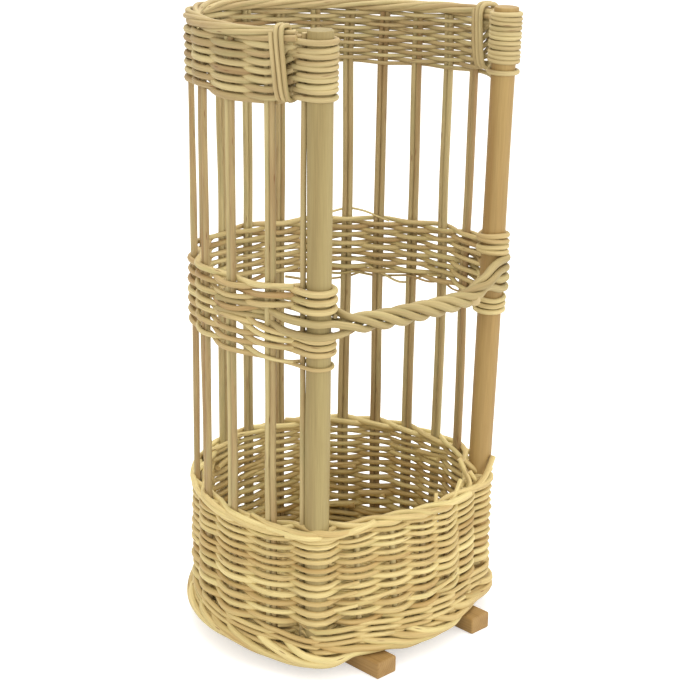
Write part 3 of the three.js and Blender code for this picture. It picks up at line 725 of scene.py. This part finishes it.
baseMat = {
    "middle": 26, "first": 0.015, "last": 0.975, "rows": 37, "radius": 3.2, "spokeRadius": 2.8,
    "spokePoints": 14, "cross": [(9, 0, 2.4), (0, 9, -2.4)], "crossTone": 0.4, "wave": 0.36,
    "steps": 5, "rodWarps": (24, 40), "past": 0.4, "uneven": (4, 0.05), "swell": (-0.09, 0.2), "seed": 9,
}


def baseRods(own):
    rng = seeded(own)
    for warp in range(warpTotal):
        share = np.linspace(0.0, own["last"], own["spokePoints"])
        line = planAt(warp, 0.0) * share[:, None] + (0, 0, own["middle"])
        yield rod(line, own["spokeRadius"], rng.uniform())
    for x, y, lift in own["cross"]:  # short rods cross over and under the middle
        line = np.outer([-1, 0, 1], (x, y, 0)) + (0, 0, own["middle"] + lift)
        yield rod(line, own["spokeRadius"], own["crossTone"])
    start = 0
    while start < own["rows"] * warpTotal:
        end = min(start + int(rng.uniform(*own["rodWarps"])), own["rows"] * warpTotal)
        s = np.arange(start, end + own["past"], 1 / own["steps"])
        share = (own["last"] - own["first"]) * s / ((own["rows"] - 1) * warpTotal)
        share = np.minimum(own["first"] + share, own["last"])  # the last round closes the edge
        line = planAt(s, np.zeros_like(s)) * share[:, None]
        thick = own["radius"] * (1 + wander(rng, s, *own["uneven"])) * slope(share, *own["swell"])
        wave = own["wave"] * np.cos(np.pi * s)
        line[:, 2] = own["middle"] + (own["spokeRadius"] + thick) * wave
        yield rod(line, thick, rng.uniform())
        start = end


layRods("baseMat", baseRods(baseMat), "weave", ["base_mat"], 6)
print("tub woven")

# waist and head bands: each rod turns round the posts and comes back
winding = {  # round the post and round the thin rod: points, start and share of the turn
    "post": (22, 0.12, 0.76), "rod": (6, 0.92, 0.16), "leave": 0.06, "level": 0.14,
    "blend": (0.8, 0.2), "unrest": (0.4, 0.2),
}
bandRods = {
    "gap": 1.4, "steps": 8, "hair": 0.001, "drift": 1.2, "uneven": (2.5, 0.07), "tones": (0, 0.9),
    "turnTone": 0.5,
}


def windTurn(side, heights, lowEnd, highEnd, thick, tone, rng):
    post = posts[side]
    lean = math.acos((plan["postRadius"] - plan["rodRadius"]) / plan["rodReach"])
    big = plan["postRadius"] + thick
    small = plan["rodRadius"] + thick
    count = len(heights)
    flat, at = [], []

    def arc(part, number, reach, radius, first, last):
        points, start, share = winding[part]
        for angle in np.linspace(first, last, points):
            flat.append((reach + radius * math.cos(angle), radius * math.sin(angle)))
            at.append(number + start + share * ((angle - first) / (last - first)))

    for number in range(count):
        arc("post", number, 0, big, lean, 2 * np.pi - lean)
        if number + 1 < count:
            arc("rod", number, plan["rodReach"], small, -lean, lean)
    at = np.array([0.0, winding["leave"]] + at + [count - winding["leave"], count])
    middles = [number + 0.5 for number in range(count)]
    knots = [0.0, winding["level"]] + middles + [count - winding["level"], count]
    mine, far = winding["blend"]
    level = [mine * heights[0] + far * lowEnd, *heights, mine * heights[-1] + far * highEnd]
    z = np.interp(at, knots, [lowEnd, *level, highEnd]) + wander(rng, at, *winding["unrest"])
    ends = [plan["rodReach"] + small * math.cos(lean), small * math.sin(lean)]
    flat = np.array([(0, 0), ends] + flat + [(ends[0], -ends[1]), (0, 0)])
    line = planAt(post["warp"], z) + post["toStakes"] * flat[:, :1] + post["outer"] * flat[:, 1:]
    line[0] = planAt(post["cross"], lowEnd)
    line[-1] = planAt(post["cross"], highEnd)
    return rod(soften(line, 2), thick, tone)


def bandRows(own, lift):
    rng = seeded(own)
    rows = own["rows"]
    tones = [rng.uniform(*bandRods["tones"]) for _ in range(rows)]
    ends = {side: [None] * rows for side in posts}
    sizes = {side: [None] * rows for side in posts}
    turns = {side: [] for side in posts}
    for side in posts:
        for row, heights, thick, *away in own["turns" + side]:  # rows that turn here, in pairs
            pair = [heights[0] - bandRods["gap"] + sum(away), heights[-1] + bandRods["gap"] + sum(away)]
            ends[side][row : row + 2] = pair
            sizes[side][row : row + 2] = [thick, thick]
            turns[side].append((heights, *pair, thick, tones[row] * bandRods["turnTone"]))
    rods = []
    for row in range(rows):
        first, last = (halfWarp if ends[side][row] else own["loose"] for side in posts)
        w = np.arange(first, rightPost - last + bandRods["hair"], 1 / bandRods["steps"])
        low = np.interp(w, *own["low"])
        high = np.interp(w, *own["high"])
        level = low + (high - low) * row / (rows - 1) + lift(w)
        z = level + wander(rng, w, bandRods["drift"], own["unrest"])
        thick = np.interp(w, *own["radius"]) * (1 + wander(rng, w, *bandRods["uneven"]))
        for side, gone in (("Left", w - halfWarp), ("Right", rightPost - halfWarp - w)):
            if ends[side][row] is None:
                continue
            z = ends[side][row] + (z - ends[side][row]) * ease(gone / own["fan"])
            thick = sizes[side][row] + (thick - sizes[side][row]) * ease(gone / own["fan"])
        offset = (plan["stakeRadius"] + thick) * own["flat"] * np.cos(np.pi * (w + row))
        rods.append(rod(wallPoints(w, z, offset), thick, tones[row]))
    return rods, turns, rng


# turns: row, heights of its rounds, thickness, and how far its ends lie above or below them
waistBand = {
    "rows": 14, "unrest": 0.95, "fan": 1.5, "flat": 0.92, "loose": 0.27, "middle": 395, "seed": 31,
    "radius": ([0, 4, 8, 15], [3.05, 3, 2.8, 2.9]),
    "low": ([0, 3, 8, 15], [361, 361, 367, 371]), "high": ([0, 3, 8, 15], [438, 438, 428, 436]),
    "turnsLeft": [
        (0, [358.7], 2.1), (2, [374.5], 3.2), (4, [381.8], 3.2), (6, [389], 3.1), (8, [421], 3.6),
        (10, [430.5], 3.7), (12, [439.8], 3.6),
    ],
    "turnsRight": [
        (1, [364.5], 2.9, 6), (3, [370.8], 2.9, 12), (5, [377], 2.9, 18), (9, [433.2, 439.8], 3, -14),
        (11, [446.3, 452.8], 3, -19),
    ],
}
waistTips = {  # thin ends of rods that stray from the band: warps, heights, side of the first stake
    "radius": [1.6, 1.2], "clear": 1.3, "places": [
        ([8.4, 9, 10, 10.6, 11.3], [428, 433, 442, 439, 430], 1),
        ([8.2, 9, 9.7, 10, 10.6, 11.3], [360, 354, 355, 355.5, 367, 372], 1),
        ([8.6, 9.7, 10.2, 10.7, 11, 11.6, 12, 12.6, 13, 13.4, 14.3],
         [368, 361.5, 366, 360, 359, 364, 368, 361, 366, 361, 366], -1),
        ([10.6, 11, 11.6, 11.9, 12.4, 13.2], [373, 368, 354, 356, 369, 376], 1),
    ],
}
rods, turns, rng = bandRows(waistBand, np.zeros_like)
for warps, heights, hand in waistTips["places"]:
    w = np.arange(warps[0], warps[-1], 1 / bandRods["steps"])
    z = np.interp(w, warps, heights)
    offset = hand * (plan["stakeRadius"] + waistTips["clear"]) * np.cos(np.pi * w)
    line = soften(wallPoints(w, z, offset), 2)
    thick = np.interp(w, [warps[0], warps[-1]], waistTips["radius"])
    rods.append(rod(line, thick, rng.uniform()))
layRods("waistWeave", rods, "band", ["waist_weave"])
for side in turns:
    for part in ("Lower", "Upper"):
        chosen = [t for t in turns[side] if (t[0][0] < waistBand["middle"]) == (part == "Lower")]
        rods = [windTurn(side, *turn, rng) for turn in chosen]
        node = "waist_winding_%s_%s" % (part.lower(), side.lower())
        layRods("waistWinding" + part + side, rods, "band", [node], 10)
print("waist band woven")

headBand = {
    "rows": 14, "unrest": 0.35, "fan": 0.45, "flat": 0.82, "loose": 0.27, "seed": 37,
    "radius": ([0, 2, 4, 7, 9, 13, 15], [3.75, 3.7, 3.4, 2.9, 2.45, 2.45, 2.8]),
    "low": ([0, 15], [626, 626]), "high": ([0, 15], [682, 682]),
    "turnsLeft": [
        (0, [638.6], 2.9), (2, [646, 651.5], 2.8), (4, [657, 662.5], 2.8), (6, [668.5, 674.5], 2.9),
        (8, [680.5, 687], 3.1), (10, [693.8], 3.1),
    ],
    "turnsRight": [
        (1, [633.5], 2.7), (3, [644.8, 649.9, 655], 2.6), (5, [660.1, 665.2], 2.6),
        (7, [670.3, 675.4], 2.6), (9, [680.5], 2.6), (11, [685.6, 690.8, 696], 2.6, -5),
    ],
}
rods, turns, rng = bandRows(headBand, headLift)
layRods("headWeave", rods, "head", ["head_weave"])
for side in turns:
    rods = [windTurn(side, *turn, rng) for turn in turns[side]]
    node = "head_winding_" + side.lower()
    layRods("headWinding" + side, rods, "head", [node], 10)

headBorder = {
    "middle": 691.4, "rods": 5, "lay": 5.6, "radius": 3.05, "wide": 6.2, "tall": 4.2, "first": 0.38,
    "steps": 7, "starts": (-0.08, 0.1), "twist": (1.5, 0.15), "uneven": (2, 0.07), "unrest": (1.4, 0.3),
    "tones": (0, 0.7), "seed": 41,
}
rng = seeded(headBorder)
rods = []
for number in range(headBorder["rods"]):
    start = headBorder["first"] + rng.uniform(*headBorder["starts"])
    w = np.arange(start, rightPost - headBorder["first"], 1 / headBorder["steps"])
    angle = 2 * np.pi * (number / headBorder["rods"] + w / headBorder["lay"])
    angle = angle + wander(rng, w, *headBorder["twist"])
    size = headBorder["radius"] * (1 + wander(rng, w, *headBorder["uneven"]))
    z = headBorder["middle"] + headLift(w) + headBorder["tall"] * np.sin(angle)
    z = z + wander(rng, w, *headBorder["unrest"])
    line = wallPoints(w, z, -headBorder["wide"] * np.cos(angle))
    rods.append(rod(line, size, rng.uniform(*headBorder["tones"])))
layRods("headBorder", rods, "head", ["head_border"], 10)

bindings = {
    "place": 0.68, "turns": 3, "pitches": {"Left": 5.3, "Right": 7.4}, "radius": 2.55, "top": 699.6,
    "bottoms": {"Left": 632.2, "Right": 635.9}, "wide": 9.6, "narrow": 8.6,
    "tilts": {"Left": 3, "Right": -3}, "start": 0.38, "past": 0.12, "points": 36, "square": 0.45,
    "centre": 0.25, "unrest": (0.3, 0.25), "tone": 0.25, "seed": 43,
}


def squareOff(wave):  # fuller corners, so a turn lies flat on the band
    return np.sign(wave) * np.abs(wave) ** bindings["square"]


for side, warp in (("Left", bindings["place"]), ("Right", rightPost - bindings["place"])):
    rng = seeded(bindings)
    turns = bindings["turns"]
    t = np.linspace(bindings["start"], turns + bindings["past"], turns * bindings["points"] + 1)
    angle = 2 * np.pi * t
    bottom = bindings["bottoms"][side]
    middle = (bindings["top"] + bottom) / 2 + float(headLift(warp))
    half = (bindings["top"] - bottom) / 2
    up = squareOff(np.sin(angle))
    wide = bindings["narrow"] + (bindings["wide"] - bindings["narrow"]) * (up + 1) / 2 + bindings["radius"]
    z = middle + (half + bindings["radius"]) * up
    offset = wide * squareOff(np.cos(angle))
    shift = (t - turns / 2 - bindings["centre"]) * bindings["pitches"][side]
    shift = shift + wander(rng, t, *bindings["unrest"]) + bindings["tilts"][side] * up
    line = soften(wallPoints(np.full_like(t, warp), z, offset, shift))
    rods = [rod(line, bindings["radius"], bindings["tone"])]
    node = "head_binding_" + side.lower()
    layRods("headBinding" + side, rods, "head", [node], 10)
print("head band woven")

# handle: rods come off the waist band, every second one inside the left post, and twist together
handleRope = {
    "rods": 4, "height": 404.4, "pitch": 7, "radius": 4.3, "uneven": (14, 0.05), "tones": (0, 0.6),
    "seed": 47,
    # between the posts, from -1 at the left one to 1 at the right one
    "ring": ([-0.8, -0.3, 0.5], [7.5, 7.2, 6.2]), "turns": 2, "gather": 0.3, "join": 0.16, "bulge": 16,
    "sag": 0.5, "drop": 8, "rise": 9, "climb": (0.4, 0.5), "ropePoints": 80,
    # round the posts, further apart on the right one
    "lift": 3.6, "bend": 66, "bendEnd": 8, "bendPoints": 9, "entryPoints": 8, "spread": 1.6, "settle": 5,
    # the tails in the waist band, by warps from the post
    "band": 8.7, "tail": 15, "thin": 0.68, "tailRises": [8.5, 6.4, 6.4, 6.4], "tailSlope": (0.4, 0.8),
    "insideAt": [0.5, 1, 1.45], "outsideAt": [0.5, 0.75, 1.1, 1.6, 2.3], "outside": [-6.5, 1, 7], "tuck": 3,
    "endAt": [0.5, 0.9, 1.35], "endTuck": 2, "endFall": 4, "endSlope": (0.5, 0.8), "endPoints": 9,
}
handleStubs = {  # cut ends that face the front: rod they stay with, places, thickness
    "tone": 0.2, "places": [
        (3, [(79.8, -120.5, 389.6), (72.9, -127.5, 393), (66, -134.6, 396.5)], 6),
        (1, [(-110, -88, 413.5), (-114, -97, 412), (-117.5, -106.5, 410.5)], 2.6),
    ],
}


def handleLine(own, number):
    level = (number - (own["rods"] - 1) / 2) * own["pitch"]
    height = own["height"] + level
    fanned = own["height"] + level * own["spread"] - own["settle"]
    around = plan["postRadius"] + own["lift"]
    inside = number % 2 == 1
    twisted = 1 - own["gather"]
    joined = 1 - own["join"]
    right = planAt(rightPost, own["height"])
    front = right[1] - plan["postRadius"] - own["lift"]
    rank = (-1 if inside else 1) * math.ceil(number / 2) / own["rods"]

    def climb(across):
        sunk = -own["drop"] * (across + 1) / 2
        return sunk + (own["rise"] - sunk) * slope(across, *own["climb"])

    def roundPost(warp, hand, degrees, z):
        angle = np.radians(degrees)
        out = np.stack([hand * np.sin(angle), -np.cos(angle), 0 * angle], axis=-1)
        return planAt(warp, z) + out * around

    def rope(across):
        arch = 1 - across ** 2
        mix = np.minimum(ease((1 - across) / own["gather"]), ease((1 + across) / own["join"]))
        twist = np.interp(across, [-joined, twisted], [-0.5, 0.5]) * own["turns"]
        angle = 2 * np.pi * (rank - twist - own["turns"] / 2) - np.pi / 2
        ring = np.interp(across, *own["ring"]) * (1 + mix * (1 - mix))
        y = front - own["bulge"] * arch - mix * ring * np.cos(angle)
        z = own["height"] + climb(across) - own["sag"] * arch
        apart = np.where(across > 0, fanned - own["height"], level)
        return np.stack([across * right[0], y, z + apart + (ring * np.sin(angle) - apart) * mix], axis=-1)

    side = own["band"] + own["lift"]
    tuck = own["tuck"]
    if inside:  # from between the band's rows, on the inner side of the first stakes, to the post
        places = own["insideAt"]
        offsets = [-side, -side + tuck, -tuck]
        first = planAt(0, height) - posts["Left"]["outer"] * (around + own["lift"])
        bent = first - posts["Left"]["toStakes"] * plan["postRadius"]
        t = np.linspace(0, 1, own["entryPoints"])[:-1, None]
        entry = (1 - t) ** 2 * first + 2 * t * (1 - t) * bent + t ** 2 * rope(np.array([-joined]))
    else:  # or on the outer side
        places = own["outsideAt"]
        offsets = [side, side - tuck, *own["outside"]]
        degrees = np.linspace(own["bend"], own["bendEnd"], own["bendPoints"])
        entry = roundPost(0, -1, degrees, height)
    w = np.linspace(places[-1], places[0], own["tail"])
    rising = height + own["tailRises"][number] * slope(w, *own["tailSlope"])
    start = wallPoints(w, rising, np.interp(w, places, offsets))
    across = np.linspace(-joined if inside else -1, 1, own["ropePoints"])
    over = np.linspace(own["bendEnd"], own["bend"], own["bendPoints"])
    leave = roundPost(rightPost, 1, over, np.full_like(over, fanned + own["rise"]))
    places = own["endAt"]  # then in between the rows of the band
    w = np.linspace(places[0], places[-1], own["endPoints"])
    falling = fanned + own["rise"] - own["endFall"] * slope(w, *own["endSlope"])
    offset = np.interp(w, places, [side, side - own["endTuck"], -own["endTuck"]])
    end = wallPoints(rightPost - w, falling, offset)
    return soften(np.concatenate([start, entry, rope(across), leave, end]), 3)


rng = seeded(handleRope)
for number in range(handleRope["rods"]):
    line = handleLine(handleRope, number)
    size = handleRope["radius"] * (1 + wander(rng, np.arange(len(line)) * 1.0, *handleRope["uneven"]))
    size[: handleRope["tail"]] *= np.linspace(handleRope["thin"], 1.0, handleRope["tail"])
    rods = [rod(line, size, rng.uniform(*handleRope["tones"]))]
    for owner, places, thick in handleStubs["places"]:
        if owner == number:
            rods.append(rod(places, thick, handleStubs["tone"]))
    name = "handleRod%d" % (number + 1)
    layRods(name, rods, "handle", ["handle_rod_%d" % (number + 1)], 12)
print("handle twisted")

# floor and light
stage = {"half": 6.0, "grey": 0.8, "rough": 0.9, "glow": 0.5, "fill": 1.04, "warmth": (1.0, 0.94, 0.86)}
white = (1, 1, 1, 1)
bm = bmesh.new()
bmesh.ops.create_grid(bm, x_segments=1, y_segments=1, size=stage["half"])
floor = newObject("floor", meshFrom(bm, "floor"))
pale = bpy.data.materials.new("paleFloor")
pale.use_nodes = True
w = Wiring(pale.node_tree)
base = pale.node_tree.nodes["Principled BSDF"]
base.inputs["Base Color"].default_value = (stage["grey"], stage["grey"], stage["grey"], 1)
base.inputs["Roughness"].default_value = stage["rough"]
glow = w.node("Emission", {"Color": white, "Strength": w.times(w.seen(), stage["glow"])})
both = w.node("AddShader", {0: base.outputs[0], 1: glow.outputs[0]})
w.feed(pale.node_tree.nodes["Material Output"].inputs["Surface"], both.outputs[0])
floor.data.materials.append(pale)

world = bpy.data.worlds.new("studio")
scene.world = world
world.use_nodes = True
w = Wiring(world.node_tree)
sky = world.node_tree.nodes["Background"]
seen = w.seen()
w.feed(sky.inputs["Color"], w.mix(seen, (*stage["warmth"], 1), white))
w.feed(sky.inputs["Strength"], w.span(seen, 0.0, 1.0, stage["fill"], 1.0))

lampTarget = Vector((0, 0, 0.35))
softboxes = {  # power, size, place
    "keyLight": (20.0, (1.6, 2.0), (0.9, -2.4, 1.0)),
    "sideLight": (14.0, (1.4, 2.0), (-2.1, -1.4, 1.2)),
    "topLight": (44.0, (2.2, 2.2), (0.3, 0.3, 2.9)),
}
for name, (power, size, place) in softboxes.items():
    lamp = bpy.data.lights.new(name, "AREA")
    lamp.shape = "RECTANGLE"
    lamp.size, lamp.size_y = size
    lamp.energy = power
    box = newObject(name, lamp)
    box.location = place
    box.rotation_mode = "QUATERNION"
    box.rotation_quaternion = (lampTarget - Vector(place)).to_track_quat("-Z", "Y")
print("studio lit")

shown = [o for o in scene.objects if o.type == "MESH" and not o.hide_render]
triangles = sum(len(p.vertices) - 2 for o in shown for p in o.data.polygons)
print("pieces:", len(shown), "triangles:", triangles)
